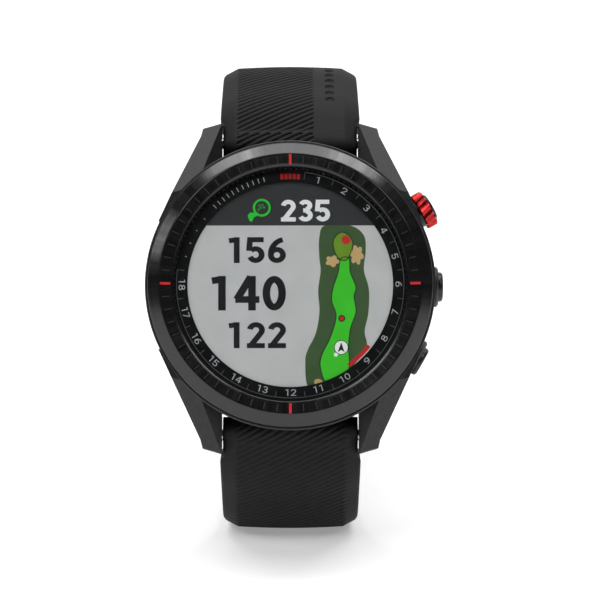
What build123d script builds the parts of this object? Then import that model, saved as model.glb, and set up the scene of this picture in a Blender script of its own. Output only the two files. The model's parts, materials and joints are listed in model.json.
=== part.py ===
from build123d import *
import os
from math import cos, degrees, pi, radians, sin

# Golf GPS watch standing on the flat foot of its open strap, millimetres, +Z up.
#
# The head is modelled in its own frame: dial in the XY plane, +Y toward twelve o'clock,
# +Z out of the dial, z = 0 on the rear cover. Every finished piece is then leaned back
# by LEAN and moved so that the middle of the strap's flat foot lies at the origin.

os.makedirs("parts", exist_ok=True)

# ---- driving dimensions ----------------------------------------------------------
LEAN = 20.0                # lean of the dial back from vertical, degrees

CASE_R = 23.5              # outside radius of the case
CASE_TOP = 10.1            # seat of the bezel
RIM_TOP = 10.95            # top of the thin wall round the bezel
CAVITY_R = 18.6            # main cavity
HOLDER_SEAT = 8.4          # ledge that carries the display holder
BEZEL_SEAT_R = 23.12       # recess in the case that the bezel drops into
COVER_R = 19.85            # rear cover
COVER_T = 1.5
BOSS_AT = 12.3             # x and y of the four screw bosses
BOSS_R = 2.0
SCREW_R = 0.6
SCREW_HEAD_R = 1.3
PORT_Y = -15.0             # charging port
CONTACT_R = 0.35
WINDOW_R = 9.0             # sensor window
WINDOW_RISE = 1.2          # how far its dome stands out behind the cover

BEZEL_R_IN = 19.0
BEZEL_R_RIDGE = 21.0       # frontmost circle of the bezel
BEZEL_R_OUT = 23.06
RIDGE_Z = 13.2

LENS_R = 18.7
RING_R_IN = 16.6           # numeral ring, inner edge
PANEL_R = 17.9

LUG_GAP = 22.4             # clear width between the lugs
LUG_TIP_Y = 27.1
PIN_Y = 24.0               # fixed strap pins
PIN_Z = 3.8
PIN_R = 0.9
FLAT_Y = 20.6              # flat wall of the case between the lugs

BUTTON_Z = 6.3
BUTTON_ANGLES = {"upper": 30.0, "middle": 0.0, "lower": -30.0}
STEM_R = 0.9
STEM_BORE_R = 0.95
STEM_FROM = 17.9           # inner end of a button stem, from the dial axis
CAP_WELL_R = 2.6           # well in the case round a button cap and its spring
CAP_R = 2.42               # caps of the middle and lower buttons
CORE_R = 2.4               # core of the upper button, inside its coloured ring
RED_RING_R = 3.05
SPRING_R = 1.6             # button return spring: radius of the coil, its wire and length
SPRING_WIRE = 0.16
SPRING_LONG = 1.44

KNUCKLE_R = 2.8            # round strap end about the lug pin
STRAP_T = 3.3              # strap thickness away from the head
STRAP_FLAT = 8.8           # half width of the flat crown
LUG_HALF = 11.0            # half width between the lugs
STRAP_HALF = 11.6          # half width to which the blank is made
FLARE_HALF = 11.5          # half width just past the lug tips
TAIL_HALF = 10.0           # half width at the buckle and the tail
BEVEL = 1.48               # drop of the side bevel at the full half width
START_HEADING = 30.0       # slope of the strap where it leaves the lugs
HOLE_R = 1.5
HOLE_PITCH = 6.2
HOLES = 11
BAR_R = 0.75               # buckle spring bar
BAR_BORE_R = 0.80
TAPER_SEGMENTS = 4         # the strap thins over its first four segments
CLIP_HALF = 7.0            # half width of the quick-release clip plate
CLIP_FROM = 2.3            # its two ends, measured along the strap from the pin
CLIP_TO = 12.4
KEEPER_LONG = 6.0
KEEPER_WALL = 1.3
KEEPER_PLAY = 0.2          # clearance under the strap
KEEPER_ROOM = 3.8          # height left above the strap for the tail


# ---- the strap's side outline ----------------------------------------------------
# A heading of 0 runs away from the dial centre, 90 runs straight back from the dial.
def ahead(h):
    return cos(radians(h)), -sin(radians(h))


def outward(h):
    return sin(radians(h)), cos(radians(h))


def trace(steps):
    """Turn ("line", length) and ("arc", radius, end heading) steps into placed segments."""
    n = outward(START_HEADING)
    y, z, h = PIN_Y + n[0] * KNUCKLE_R, PIN_Z + n[1] * KNUCKLE_R, START_HEADING
    placed = []
    for step in steps:
        if step[0] == "line":
            t = ahead(h)
            placed.append(dict(r=None, p=(y, z), h0=h, h1=h, long=step[1]))
            y, z = y + t[0] * step[1], z + t[1] * step[1]
        else:
            r, h1 = step[1], step[2]
            n0, n1 = outward(h), outward(h1)
            centre = (y - n0[0] * r, z - n0[1] * r)
            placed.append(dict(r=r, p=centre, h0=h, h1=h1, long=r * radians(h1 - h)))
            y, z, h = centre[0] + n1[0] * r, centre[1] + n1[1] * r, h1
    return placed


def on_segment(seg, s, depth):
    """Point (y, z) and heading at arc length s of one segment, depth under its outside."""
    if seg["r"] is None:
        t, n = ahead(seg["h0"]), outward(seg["h0"])
        return (seg["p"][0] + t[0] * s - n[0] * depth,
                seg["p"][1] + t[1] * s - n[1] * depth), seg["h0"]
    h = seg["h0"] + degrees(s / seg["r"])
    n = outward(h)
    reach = seg["r"] - depth
    return (seg["p"][0] + n[0] * reach, seg["p"][1] + n[1] * reach), h


def on_path(path, s, depth=0.0):
    for seg in path:
        if s <= seg["long"] or seg is path[-1]:
            return on_segment(seg, s, depth)
        s -= seg["long"]


def edge_of(seg, x, depth):
    ends = [Vector(x, *on_segment(seg, seg["long"] * k, depth)[0]) for k in (0.0, 0.5, 1.0)]
    if seg["r"] is None:
        return Edge.make_line(ends[0], ends[2])
    return Edge.make_three_point_arc(*ends)


def thickness(s, s_end):
    k = min(s / s_end, 1.0)
    return STRAP_T + (2 * KNUCKLE_R - STRAP_T) * (1 - k * k * (3 - 2 * k))


def outline(path, x, depth):
    """Closed side outline of a strap half in the plane x, with its outside lowered by depth."""
    s_end = sum(seg["long"] for seg in path[:TAPER_SEGMENTS])
    outer = [edge_of(seg, x, depth) for seg in path]
    samples = [s_end * i / 14 for i in range(15)]
    taper = [Vector(x, *on_path(path, s, thickness(s, s_end))[0]) for s in samples]
    headings = [on_path(path, s)[1] for s in (0.0, s_end)]
    tangents = [Vector(0, *ahead(h)) for h in headings]
    inner = [Edge.make_spline(taper, tangents=tangents)]
    inner += [edge_of(seg, x, STRAP_T) for seg in path[TAPER_SEGMENTS:]]
    start = Edge.make_line(inner[0] @ 0, outer[0] @ 0)
    end = Edge.make_line(outer[-1] @ 1, inner[-1] @ 1)
    return Wire([start] + outer + [end] + inner)


def strap_blank(path):
    """Strap half without its end fittings: flat crown, side bevels and narrowing width."""
    middle = Solid.extrude(Face(outline(path, -STRAP_FLAT, 0)), Vector(2 * STRAP_FLAT, 0, 0))
    side = Solid.make_loft([outline(path, STRAP_FLAT, 0), outline(path, STRAP_HALF, BEVEL)],
                           ruled=True)
    body = middle + side + mirror(side, about=Plane.YZ)
    right = [(LUG_HALF, -90), (LUG_HALF, 28.2), (FLARE_HALF, 29.4), (11.25, 39.0), (11.25, 45)]
    plan = Polygon(*right, *[(-x, y) for x, y in reversed(right)], align=None)
    body = body & extrude(plan, 120, both=True)
    right = [(FLARE_HALF, 12), (FLARE_HALF, -4), (TAIL_HALF, -34), (TAIL_HALF, -120)]
    depth_plan = Polygon(*right, *[(-x, z) for x, z in reversed(right)], align=None)
    return body & extrude(Plane.XZ * depth_plan, 120, both=True)


def seat(point, heading):
    """Plane on the strap: X across it, Y along it, Z out of its outer face."""
    return Plane(origin=(0, *point), x_dir=(1, 0, 0), z_dir=(0, *outward(heading)))


def along_x(radius, half_length):
    return Rot(Y=90) * Cylinder(radius, 2 * half_length)


def box_between(x, y, z):
    return Pos((x[0] + x[1]) / 2, (y[0] + y[1]) / 2, (z[0] + z[1]) / 2) * Box(
        x[1] - x[0], y[1] - y[0], z[1] - z[0])


UPPER_PATH = trace([
    ("line", 3.0), ("arc", 15.5, 55.0), ("line", 6.2), ("arc", 21.5, 68.0),
    ("arc", 9.5, 90.0), ("arc", 35.6, 135.0), ("line", 21.0)])
LOWER_PATH = trace([
    ("line", 3.0), ("arc", 15.5, 55.0), ("line", 5.3), ("arc", 21.5, 68.0),
    ("arc", 9.5, 90.0 + LEAN), ("line", 40.0), ("arc", 23.6, 160.0 + LEAN), ("line", 16.0)])
FOOT = LOWER_PATH[5]


def long_of(path):
    return sum(seg["long"] for seg in path)


# ---- stance ----------------------------------------------------------------------
def stand(shape, y=0.0, z=0.0):
    return Pos(0, y, z) * Rot(X=90 - LEAN) * shape


foot_mid = on_segment(FOOT, FOOT["long"] / 2, 0)[0]
foot_point = stand(Pos(0, -foot_mid[0], foot_mid[1])).position
SHIFT_Y, SHIFT_Z = -foot_point.Y, -foot_point.Z


def save(shape, node, lower=False):
    """Write one node; lower pieces are modelled on the twelve o'clock side and turned over."""
    if lower:
        shape = Rot(Z=180) * shape
    export_step(stand(shape, SHIFT_Y, SHIFT_Z), f"parts/{node}.step")


def ring(r_in, r_out, z0, z1):
    return Pos(0, 0, (z0 + z1) / 2) * (Cylinder(r_out, z1 - z0) - Cylinder(r_in, z1 - z0))


def disc(r, z0, z1, x=0.0, y=0.0):
    return Pos(x, y, (z0 + z1) / 2) * Cylinder(r, z1 - z0)


def turned(points):
    """Solid of revolution about the dial axis from (radius, z) points."""
    return revolve(Plane.XZ * Polygon(*points, align=None), Axis.Z)


def coil(radius, wire, pitch, height):
    path = Helix(pitch, height, radius)
    section = Plane(origin=path @ 0, z_dir=path % 0) * Circle(wire)
    return sweep(section, path=path)


def cut_above(shape, a, b, c):
    """Remove what lies in front of the plane through three points."""
    normal = (Vector(*b) - Vector(*a)).cross(Vector(*c) - Vector(*a))
    if normal.Z < 0:
        normal = normal * -1
    face = Plane(origin=a, z_dir=normal)
    return shape - face.location * Pos(0, 0, 30) * Box(120, 120, 60)


# ---- case ------------------------------------------------------------------------
bosses = [(sx * BOSS_AT, sy * BOSS_AT) for sx in (-1, 1) for sy in (-1, 1)]

shell = turned([(17.9, 1.8), (17.9, 2.2), (CAVITY_R, 2.2), (CAVITY_R, HOLDER_SEAT),
                (19.3, HOLDER_SEAT), (19.3, CASE_TOP), (BEZEL_SEAT_R, CASE_TOP),
                (BEZEL_SEAT_R, RIM_TOP), (23.34, RIM_TOP), (CASE_R, RIM_TOP - 0.16), (CASE_R, 5.0),
                (23.1, 2.6), (22.3, 0.9), (21.3, 0.0), (20.0, 0.0), (20.0, 1.8)])


def lug(sx, sy):
    """One lug: outer flank tangent to the case, two facets falling toward the tip."""
    plan = Polygon((LUG_GAP / 2, 12), (21.3, 10.4), (14.6, 24.9), (14.3, 26.2),
                   (LUG_GAP / 2, LUG_TIP_Y), align=None)
    body = extrude(plan, RIM_TOP - 0.1) - Cylinder(19.9, 40)
    body = body - Pos(0, 0, CASE_TOP + 5) * Cylinder(BEZEL_SEAT_R, 10)
    tip, root = (LUG_GAP / 2, LUG_TIP_Y, 5.5), (14.5, 18.1, 9.8)
    body = cut_above(body, tip, root, (14.3, 26.2, 5.6))
    body = cut_above(body, tip, root, (LUG_GAP / 2, 18.6, 6.6))
    under = Plane(origin=(0, LUG_TIP_Y, 1.4), z_dir=(0, -0.15, 1))
    body = body - under.location * Pos(0, 0, -10) * Box(80, 80, 20)
    if sx < 0:
        body = mirror(body, about=Plane.YZ)
    if sy < 0:
        body = mirror(body, about=Plane.XZ)
    return body


gap_cut = [Pos(0, s * (FLAT_Y + 10), HOLDER_SEAT / 2 - 5) * Box(LUG_GAP, 20, HOLDER_SEAT + 10)
           for s in (-1, 1)]
shell = shell - gap_cut
for sx in (-1, 1):
    for sy in (-1, 1):
        shell = shell + lug(sx, sy)
for x, y in bosses:
    shell = shell + disc(BOSS_R, 1.8, 7.6, x, y)
shell = shell + (box_between((-19.4, -11.5), (-1.6, 1.6), (7.0, 7.6)) - Cylinder(17.6, 40))


def radial(angle):
    """Plane on a button axis: Z runs out of the case, origin on the dial axis."""
    a = radians(angle)
    return Plane(origin=(0, 0, BUTTON_Z), x_dir=(-sin(a), cos(a), 0), z_dir=(cos(a), sin(a), 0))


def on_axis(angle, shape):
    return radial(angle).location * shape


def rod(radius, u0, u1):
    return Pos(0, 0, (u0 + u1) / 2) * Cylinder(radius, u1 - u0)


for name, angle in BUTTON_ANGLES.items():
    if name != "upper":
        guard = rod(3.3, 20.4, 24.05)
        guard = chamfer(guard.edges().group_by(Axis.Z)[-1], 0.3)
        shell = shell + on_axis(angle, guard)
for name, angle in BUTTON_ANGLES.items():
    shell = shell - on_axis(angle, rod(CAP_WELL_R, 20.8, 27.0))
    shell = shell - on_axis(angle, rod(STEM_BORE_R, 16, 23))
ring_relief = rod(RED_RING_R + 0.35, 23.3, 27.0)
shell = shell - on_axis(BUTTON_ANGLES["upper"], ring_relief)
for x, y in bosses:
    shell = shell - disc(SCREW_R, 1.8, 4.4, x, y)
for s in (-1, 1):
    shell = shell - Pos(0, s * PIN_Y, PIN_Z) * along_x(PIN_R, 12.8)
save(shell, "case_shell")

pins = [Pos(0, s * PIN_Y, PIN_Z) * along_x(PIN_R, 12.7) for s in (-1, 1)]
save(Compound(children=pins), "lug_pins")

# ---- bezel, glass and display stack -------------------------------------------------
bezel = turned([(BEZEL_R_IN, 10.2), (BEZEL_R_IN, 12.75), (BEZEL_R_RIDGE - 0.1, RIDGE_Z - 0.03),
                (BEZEL_R_RIDGE, RIDGE_Z), (BEZEL_R_RIDGE + 0.12, RIDGE_Z - 0.05),
                (BEZEL_R_OUT, 11.44), (BEZEL_R_OUT, 11.2), (22.6, 10.2)])
marks = [Rot(Z=90 * i) * box_between((19.3, 20.9), (-0.2, 0.2), (12.6, 13.4)) for i in range(4)]
inlays = [bezel & m for m in marks]
save(bezel - marks, "bezel")
save(Compound(children=inlays), "bezel_markers")
save(ring(19.8, 22.4, CASE_TOP, 10.2), "bezel_adhesive")

lens = disc(LENS_R, 11.3, 12.6)
save(chamfer(lens.edges().group_by(Axis.Z)[-1], 0.25), "lens")
save(ring(LENS_R, BEZEL_R_IN, 11.4, 12.3), "lens_gasket")
save(ring(RING_R_IN, 18.9, 10.9, 11.25), "dial_ring")
save(disc(PANEL_R, 10.5, 10.7), "touch_sensor")
save(disc(PANEL_R, 9.4, 10.5), "display_panel")
save(disc(PANEL_R, 8.9, 9.4), "backlight")
holder = ring(PANEL_R, 19.25, HOLDER_SEAT, 10.05) + ring(PANEL_R, 18.9, 10.0, 10.9)
save(holder + ring(16.8, PANEL_R + 0.2, HOLDER_SEAT, 8.9), "display_holder")

# ---- electronics -------------------------------------------------------------------
board = disc(17.4, 7.6, 8.2) - [disc(0.7, 7, 9, x, y) for x, y in bosses]
save(board, "main_board")
chips = [box_between((-9, -5), (-9, -5), (6.7, 7.6)), box_between((-8.5, -5.5), (6, 9), (6.9, 7.6)),
         box_between((2, 6), (-11, -8), (6.8, 7.6)), box_between((-3, -1), (-13, -11.5), (6.9, 7.6)),
         box_between((-13, -11), (-6, -2.4), (7.0, 7.6)), box_between((5, 8), (9, 12), (6.9, 7.6))]
save(Compound(children=chips), "board_chips")
can = box_between((-4, 8), (-6, 5), (6.4, 7.6)) - box_between((-3.8, 7.8), (-5.8, 4.8), (6.6, 7.6))
save(can, "shield_can")
cell = box_between((-9.8, 9.8), (-12, 12), (2.2, 6.2))
save(fillet(cell.edges().filter_by(Axis.Z), 2.0), "battery")
save(disc(3.9, 2.3, 5.0, 14.2, 0) - disc(0.6, 4.6, 5.0, 14.2, 0), "vibration_motor")
aerial = ring(17.7, 18.4, 7.7, 8.35) - box_between((-20, -17), (-3, 3), (7, 9))
save(aerial, "antenna_ring")
flex = box_between((-4, 4), (-15.5, -12.6), (8.2, 8.9)) - box_between(
    (-4, 4), (-15.35, -12.5), (8.33, 8.77))
save(flex, "display_flex")
sweep_ring = ring(14.6, 14.75, 5.9, 7.6)
wedge = Polygon((0, 0), (30, -20.5), (30, 20.5), align=None)
save(sweep_ring & extrude(wedge, 10), "button_flex")
switches = [on_axis(a, box_between((-1.6, 1.6), (-0.9, 1.3), (14.8, 16.8)) + rod(0.6, 16.8, 17.2))
            for a in BUTTON_ANGLES.values()]
save(Compound(children=switches), "tact_switches")

# ---- rear cover, sensor and charging port -------------------------------------------
cover = disc(COVER_R, 0, COVER_T)
cover = chamfer(cover.edges().group_by(Axis.Z)[0], 0.3) - disc(WINDOW_R, -1, 2)
for x, y in bosses:
    cover = cover - disc(1.35, -1, 0.95, x, y) - disc(0.65, 0, 2, x, y)
port_body = box_between((-3.9, 3.9), (PORT_Y - 1.8, PORT_Y + 1.8), (0, 2.9))
port_body = fillet(port_body.edges().filter_by(Axis.Z), 0.8)
cover = cover - port_body
save(cover, "rear_cover")
port_well = box_between((-3.2, 3.2), (PORT_Y - 1.1, PORT_Y + 1.1), (-1, 1.3))
contact_x = [-2.25, -0.75, 0.75, 2.25]
port = port_body - port_well - [disc(CONTACT_R, 0, 4, x, PORT_Y) for x in contact_x]
save(port, "charging_port")
contacts = [disc(CONTACT_R, 0.7, 3.1, x, PORT_Y) for x in contact_x]
save(Compound(children=contacts), "charging_contacts")
save(ring(18.1, 19.6, COVER_T, 1.8), "rear_gasket")


def cover_screw(x, y):
    head = disc(SCREW_HEAD_R, 0.15, 0.95, x, y)
    head = head - box_between((x - 1, x + 1), (y - 0.15, y + 0.15), (0, 0.5))
    return head + disc(SCREW_R, 0.95, 4.2, x, y)


save(Compound(children=[cover_screw(x, y) for x, y in bosses]), "rear_cover_screws")

ball_r = (WINDOW_R ** 2 + WINDOW_RISE ** 2) / (2 * WINDOW_RISE)
dome = Pos(0, 0, -1.6 + ball_r) * Sphere(ball_r) & disc(WINDOW_R, -2, -0.4)
window = dome + disc(WINDOW_R, -0.4, 1.0) - disc(8.0, -0.4, 1.2)
save(window, "sensor_window")
save(disc(8.9, 1.0, 1.6), "sensor_board")
save(Compound(children=[box_between((x - 0.8, x + 0.8), (-0.5, 0.5), (0.4, 1.0))
                        for x in (-2.2, 0, 2.2)]), "sensor_leds")
save(Compound(children=[Rot(Z=45 + 90 * i) * box_between((4.2, 6.6), (-1.2, 1.2), (0.6, 1.0))
                        for i in range(4)]), "photodiodes")

# ---- buttons ------------------------------------------------------------------------
for name, angle in BUTTON_ANGLES.items():
    stem = rod(STEM_R, STEM_FROM, 22.8) - (rod(1.2, 19.5, 19.9) - rod(0.6, 19.5, 19.9))
    stem = stem - (rod(1.2, 18.1, 18.35) - rod(0.55, 18.1, 18.35))
    if name == "upper":
        cap = rod(CORE_R, 22.6, 26.3)
        dome_cap = rod(2.2, 26.3, 26.6)
        cap = cap + chamfer(dome_cap.edges().group_by(Axis.Z)[-1], 0.2)
        red = rod(RED_RING_R, 24.3, 26.2) - rod(CORE_R, 24.3, 26.2)
        outer_edges = [e for e in red.edges() if abs(e.length - 2 * pi * RED_RING_R) < 0.1]
        save(on_axis(angle, chamfer(outer_edges[:2], 0.2)), "upper_button_ring")
    else:
        cap = rod(CAP_R, 22.6, 24.85)
        cap = fillet(cap.edges().group_by(Axis.Z)[-1], 0.5)
    save(on_axis(angle, cap + stem), f"{name}_button")
    save(on_axis(angle, rod(STEM_R, 19.5, 19.9) - rod(0.6, 19.5, 19.9)), f"{name}_button_seal")
    clip = rod(1.15, 18.1, 18.35) - rod(0.55, 18.1, 18.35) - box_between(
        (-0.4, 0.4), (-2, 0), (18, 19))
    save(on_axis(angle, clip), f"{name}_button_clip")
    spring = Pos(0, 0, 20.98) * coil(SPRING_R, SPRING_WIRE, SPRING_LONG / 3, SPRING_LONG)
    save(on_axis(angle, spring), f"{name}_button_spring")

# ---- quick-release end of a strap half ------------------------------------------------
CLIP = seat((PIN_Y, PIN_Z), START_HEADING)


def in_clip(shape):
    return CLIP.location * shape


clip_pocket = in_clip(box_between((-CLIP_HALF, CLIP_HALF), (CLIP_FROM, CLIP_TO + 0.2), (-4.2, -1.0))
                      + box_between((-4.6, 4.6), (1.1, 3.0), (-1.95, -1.0)))
pin_bore = Pos(0, PIN_Y, PIN_Z) * along_x(PIN_R + 0.06, 13)


def quick_clip():
    """Metal plate sunk in the underside, with two rails and a slot for the thumb tab."""
    plate = box_between((-CLIP_HALF, CLIP_HALF), (CLIP_FROM, CLIP_TO), (-2.6, -1.95))
    rails = box_between((-CLIP_HALF, -4.9), (CLIP_FROM, CLIP_TO), (-1.95, -1.0))
    rails = rails + box_between((4.9, CLIP_HALF), (CLIP_FROM, CLIP_TO), (-1.95, -1.0))
    stop = box_between((-4.9, 4.9), (CLIP_TO - 0.4, CLIP_TO), (-1.95, -1.0))
    slot = box_between((-1.9, 1.9), (5.4, 10.6), (-3, -1.9))
    return in_clip(plate + rails + stop - slot)


def latch():
    plate = box_between((-4.5, 4.5), (1.5, 8.8), (-1.85, -1.15))
    tab = box_between((-1.6, 1.6), (5.8, 8.4), (-3.3, -1.85))
    tab = chamfer(tab.edges().group_by(Axis.Z)[0], 0.25)
    return in_clip(plate + tab)


def latch_spring():
    lay = Rot(X=-90)
    return in_clip(Pos(0, 8.95, -1.5) * lay * coil(0.3, 0.07, 0.42, 2.9))


for name, is_lower in (("upper", False), ("lower", True)):
    save(quick_clip(), f"{name}_clip", is_lower)
    save(latch(), f"{name}_latch", is_lower)
    save(latch_spring(), f"{name}_latch_spring", is_lower)


def strap_end(body):
    knuckle = Pos(0, PIN_Y, PIN_Z) * along_x(KNUCKLE_R, LUG_HALF)
    return body + knuckle - pin_bore - clip_pocket


# ---- upper strap half, keeper and buckle -------------------------------------------------
bar_point, bar_heading = on_path(UPPER_PATH, long_of(UPPER_PATH), STRAP_T / 2)
BAR = seat(bar_point, bar_heading)


def at_bar(shape):
    return BAR.location * shape


upper = strap_end(strap_blank(UPPER_PATH))
upper = upper + at_bar(along_x(STRAP_T / 2, TAIL_HALF))
upper = upper - at_bar(along_x(BAR_R, 12)) - at_bar(box_between((-1.4, 1.4), (-2.2, 3), (-3, 3)))
save(upper, "upper_strap")

ARM_IN, ARM_OUT = TAIL_HALF + 0.2, 12.4
frame = box_between((-ARM_OUT, ARM_OUT), (-1.7, 10.8), (-1.4, 1.3))
frame = fillet(frame.edges().filter_by(Axis.Z).group_by(Axis.Y)[-1], 2.6)
frame = frame - box_between((-ARM_IN, ARM_IN), (-4, 8.6), (-3, 3))
frame = frame - box_between((-9, 9), (8, 12), (0.4, 3)) - along_x(BAR_BORE_R, 11.7)
save(at_bar(frame), "buckle_frame")
tongue = along_x(1.5, 1.15) + box_between((-1.15, 1.15), (0, 10.5), (0.45, 1.45))
tongue = tongue - along_x(BAR_BORE_R, 3)
save(at_bar(tongue), "buckle_tongue")
save(at_bar(along_x(BAR_R, 11.6)), "buckle_bar")

keeper_floor, keeper_roof = -STRAP_T / 2 - KEEPER_PLAY, STRAP_T / 2 + KEEPER_ROOM
keeper_out = box_between((-12.0, 12.0), (-KEEPER_LONG / 2, KEEPER_LONG / 2),
                         (keeper_floor - KEEPER_WALL, keeper_roof + KEEPER_WALL))
keeper_out = fillet(keeper_out.edges().filter_by(Axis.Y), 1.6)
keeper_in = box_between((-10.3, 10.3), (-5, 5), (keeper_floor, keeper_roof))
keeper = keeper_out - fillet(keeper_in.edges().filter_by(Axis.Y), 0.6)
save(at_bar(Pos(0, -9.5, 0) * keeper), "keeper")

# ---- lower strap half ------------------------------------------------------------------
lower = strap_end(strap_blank(LOWER_PATH))
tail = long_of(LOWER_PATH)
first_hole = tail - 12.0 - HOLE_PITCH * (HOLES - 1)
for i in range(HOLES):
    point, heading = on_path(LOWER_PATH, first_hole + i * HOLE_PITCH)
    lower = lower - seat(point, heading).location * Cylinder(HOLE_R, 12)
tip_point, tip_heading = on_path(LOWER_PATH, tail)
tip_cut = box_between((-15, 15), (-9, 3), (-8, 8)) - Pos(0, -12.6, 0) * Cylinder(12.5, 20)
lower = lower - seat(tip_point, tip_heading).location * tip_cut
save(lower, "lower_strap", True)
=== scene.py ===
"""Golf GPS watch on its open strap: the looks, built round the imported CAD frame.

Shapes are worked out in the head's own millimetres: x toward the buttons, y toward twelve
o'clock, z out of the dial from the rear cover. world() turns them into the row frame.
"""
import json
import math

import bmesh
import bpy
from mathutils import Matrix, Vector

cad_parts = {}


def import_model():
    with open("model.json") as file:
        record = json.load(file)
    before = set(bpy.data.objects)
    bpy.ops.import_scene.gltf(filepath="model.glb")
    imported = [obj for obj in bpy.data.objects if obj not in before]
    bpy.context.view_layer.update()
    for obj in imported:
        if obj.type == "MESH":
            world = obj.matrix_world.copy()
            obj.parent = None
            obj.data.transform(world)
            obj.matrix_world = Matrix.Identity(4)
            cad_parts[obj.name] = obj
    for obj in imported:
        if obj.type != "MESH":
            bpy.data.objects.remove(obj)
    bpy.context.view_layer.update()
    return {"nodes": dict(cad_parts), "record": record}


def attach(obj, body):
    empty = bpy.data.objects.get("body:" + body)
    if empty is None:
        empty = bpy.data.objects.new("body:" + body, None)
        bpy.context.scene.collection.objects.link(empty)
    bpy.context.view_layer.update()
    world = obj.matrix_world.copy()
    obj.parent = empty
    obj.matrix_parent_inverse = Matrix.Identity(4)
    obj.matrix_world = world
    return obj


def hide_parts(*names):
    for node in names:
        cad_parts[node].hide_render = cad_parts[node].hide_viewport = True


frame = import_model()
nodes = frame["nodes"]

# ---- the head's frame, read from the record ------------------------------------------
MM = 0.001
DOME_DEPTH = 1.6
mounts = {m["name"]: m for m in frame["record"]["mounts"]}
DIAL_Z = -Vector(mounts["wrist"]["axis"]).normalized()
DIAL_X = Vector((1, 0, 0))
DIAL_Y = DIAL_Z.cross(DIAL_X)
HEAD = Vector(mounts["wrist"]["pos_m"]) + DIAL_Z * DOME_DEPTH * MM
LEAN = math.degrees(math.asin(DIAL_Z.z))


def world(x, y, z):
    return HEAD + (DIAL_X * x + DIAL_Y * y + DIAL_Z * z) * MM


# ---- materials ---------------------------------------------------------------------
GRAIN_RELIEF = 0.00004     # depth of the fine grain, metres
SPECK_COLOUR = (0.35, 0.36, 0.38, 1)
BRUSH_LINES = 14           # scale of the brushing round the dial
BRUSH_HIGHLIGHT_TONE = 1.8           # how much lighter its lines are: a painted brushed highlight


def surface(name, colour, rough, metallic=0.0, grain=4000.0, bump=0.1, mottle=0.15,
            rough_spread=0.08, coat=0.0, stretch=None, speck=0.0, glow=0.0, shine=0.5, streak=0.0):
    """Procedural surface: mottled colour, uneven roughness and a fine grain in the normal."""
    m = bpy.data.materials.new(name)
    m.use_nodes = True
    tree = m.node_tree
    link = tree.links.new
    shader = tree.nodes["Principled BSDF"]
    place = tree.nodes.new("ShaderNodeTexCoord")
    scale = tree.nodes.new("ShaderNodeMapping")
    scale.inputs["Scale"].default_value = stretch or (1, 1, 1)
    link(place.outputs["Object"], scale.inputs["Vector"])
    cloud = tree.nodes.new("ShaderNodeTexNoise")
    cloud.inputs["Scale"].default_value = grain / 9
    cloud.inputs["Detail"].default_value = 3
    link(scale.outputs["Vector"], cloud.inputs["Vector"])
    ramp = tree.nodes.new("ShaderNodeValToRGB")
    low = [c * (1 - mottle) for c in colour]
    high = [min(1.0, c * (1 + mottle) + 0.002) for c in colour]
    ramp.color_ramp.elements[0].position = 0.3
    ramp.color_ramp.elements[0].color = (*low, 1)
    ramp.color_ramp.elements[1].position = 0.7
    ramp.color_ramp.elements[1].color = (*high, 1)
    link(cloud.outputs["Fac"], ramp.inputs["Fac"])
    link(ramp.outputs["Color"], shader.inputs["Base Color"])
    spread = tree.nodes.new("ShaderNodeMapRange")
    spread.inputs["To Min"].default_value = max(0.02, rough - rough_spread)
    spread.inputs["To Max"].default_value = min(1.0, rough + rough_spread)
    link(cloud.outputs["Fac"], spread.inputs["Value"])
    link(spread.outputs["Result"], shader.inputs["Roughness"])
    fine = tree.nodes.new("ShaderNodeTexNoise")
    fine.inputs["Scale"].default_value = grain
    fine.inputs["Detail"].default_value = 2
    link(scale.outputs["Vector"], fine.inputs["Vector"])
    relief = tree.nodes.new("ShaderNodeBump")
    relief.inputs["Strength"].default_value = bump
    relief.inputs["Distance"].default_value = GRAIN_RELIEF
    link(fine.outputs["Fac"], relief.inputs["Height"])
    link(relief.outputs["Normal"], shader.inputs["Normal"])
    shader.inputs["Metallic"].default_value = metallic
    shader.inputs["Coat Weight"].default_value = coat
    shader.inputs["Coat Roughness"].default_value = 0.08
    if speck:
        dots = tree.nodes.new("ShaderNodeTexVoronoi")
        dots.inputs["Scale"].default_value = grain / 2.2
        link(scale.outputs["Vector"], dots.inputs["Vector"])
        pick = tree.nodes.new("ShaderNodeMapRange")
        pick.inputs["From Min"].default_value = 0.12
        pick.inputs["From Max"].default_value = 0.28
        pick.inputs["To Min"].default_value = speck
        pick.inputs["To Max"].default_value = 0.0
        link(dots.outputs["Distance"], pick.inputs["Value"])
        mix = tree.nodes.new("ShaderNodeMix")
        mix.data_type = "RGBA"
        mix.inputs["B"].default_value = SPECK_COLOUR
        link(pick.outputs["Result"], mix.inputs["Factor"])
        link(ramp.outputs["Color"], mix.inputs["A"])
        link(mix.outputs["Result"], shader.inputs["Base Color"])
    shader.inputs["Specular IOR Level"].default_value = shine
    if streak:
        brush_round_dial(tree, shader, rough, streak, colour)
    if glow:
        link(ramp.outputs["Color"], shader.inputs["Emission Color"])
        shader.inputs["Emission Strength"].default_value = glow
    return m


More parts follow.
